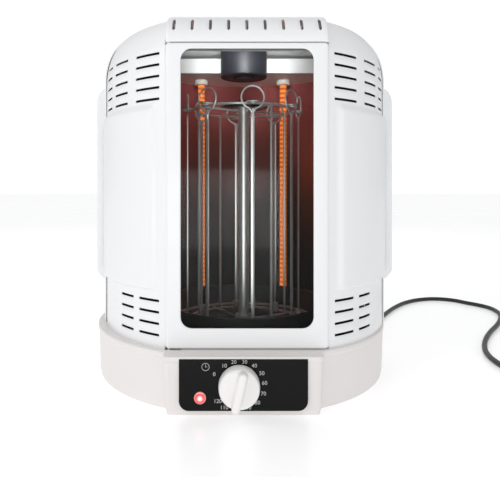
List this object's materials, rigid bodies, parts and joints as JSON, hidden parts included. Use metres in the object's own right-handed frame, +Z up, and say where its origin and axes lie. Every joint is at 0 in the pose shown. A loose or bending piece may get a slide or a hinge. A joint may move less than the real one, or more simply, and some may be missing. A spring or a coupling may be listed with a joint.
{
  "type": "rotisserie oven",
  "caption": "Round upright countertop rotisserie oven with a hinged glass door, a timer, upright heaters and a motor-driven turntable that holds ring-handled skewers.",
  "frame": {"origin": "on the table, on the plane of the base's underside, directly under the turntable's axis", "axes": "+Z up along the turntable's axis; the door and the timer face -Y; +X is to the right seen from the front"},
  "size_m": [0.5364, 0.4639, 0.3415],
  "materials": {
    "casing_paint": "smooth gloss white paint",
    "base_plastic": "moulded, satin, warm white",
    "grip_plastic": "moulded, satin white",
    "knob_plastic": "moulded, satin white",
    "fascia_black": "polished black",
    "steel_plate": "zinc plated sheet",
    "bright_steel": "bright plated",
    "chamber_steel": "dark heat resistant enamel",
    "liner_aluminium": "polished reflector sheet",
    "hub_steel": "dark blue grey enamel",
    "timer_case": "moulded",
    "lamp_glass": "small neon envelope",
    "lens_red": "translucent red",
    "brass_bush": "turned",
    "block_plastic": "moulded",
    "cord_black": "satin black sheath",
    "tie_plastic": "black strap",
    "plug_plastic": "black, moulded on",
    "pin_brass": "stamped blades",
    "ceramic": "white glazed ceramic",
    "heater_glass": "ribbed orange quartz",
    "magnet": "ferrite strip",
    "door_glass": "clear tempered glass",
    "rubber": "soft black pads",
    "coupler_plastic": "heat resistant",
    "pan_coating": "dark non-stick coating",
    "chrome_wire": "bright plated wire",
    "cap_plastic": "heat resistant black"
  },
  "bodies": {
    "body": {"base_housing": "base_plastic", "bottom_plate": "steel_plate", "feet": "rubber", "base_screws": "bright_steel", "control_fascia": "fascia_black", "timer_unit": "timer_case", "neon_lamp": "lamp_glass", "indicator_lens": "lens_red", "drive_motor": "steel_plate", "shaft_bush": "brass_bush", "terminal_block": "block_plastic", "cord_gland": "cord_black", "power_cord": "cord_black", "cord_coil": "cord_black", "cord_tie": "tie_plastic", "plug_body": "plug_plastic", "plug_pins": "pin_brass", "chamber_floor": "chamber_steel", "inner_liner": "liner_aluminium", "ceiling_plate": "steel_plate", "ceiling_hub": "hub_steel", "thermal_cutout": "ceramic", "heater_tube_left": "heater_glass", "heater_tube_right": "heater_glass", "heater_caps": "ceramic", "door_surround": "steel_plate", "hinge_bracket_top": "bright_steel", "hinge_bracket_bottom": "bright_steel", "catch_magnet": "magnet", "front_shell_left": "casing_paint", "front_shell_right": "casing_paint", "top_front_panel": "casing_paint", "rear_shell": "casing_paint", "side_grip_left": "grip_plastic", "side_grip_right": "grip_plastic", "casing_screws": "bright_steel"},
    "door": {"door_frame": "casing_paint", "door_glass": "door_glass", "glass_clips": "bright_steel", "hinge_pins": "bright_steel", "strike_plate": "bright_steel"},
    "timer": {"timer_knob": "knob_plastic", "timer_shaft": "bright_steel"},
    "turntable": {"drive_shaft": "bright_steel", "drive_coupler": "coupler_plastic", "drip_pan": "pan_coating", "rack_lower": "chrome_wire", "rack_upper": "chrome_wire", "rack_posts": "chrome_wire", "centre_tube": "chrome_wire", "tube_cap": "cap_plastic", "skewer_1": "chrome_wire", "skewer_2": "chrome_wire", "skewer_3": "chrome_wire", "skewer_4": "chrome_wire", "skewer_5": "chrome_wire", "skewer_6": "chrome_wire", "skewer_7": "chrome_wire", "skewer_8": "chrome_wire"}
  },
  "joints": [
    {"name": "door_hinge", "type": "hinge", "parent": "body", "child": "door", "pos_m": [-0.0665, -0.12746, 0.179], "axis": [0, 0, -1], "range_deg": [0, 110]},
    {"name": "timer_turn", "type": "hinge", "parent": "body", "child": "timer", "pos_m": [-0.007, -0.15, 0.0259], "axis": [0, 1, 0], "range_deg": [-77, 220]},
    {"name": "turntable_spin", "type": "hinge", "parent": "body", "child": "turntable", "pos_m": [0, 0, 0.037], "axis": [0, 0, 1], "continuous": true}
  ]
}
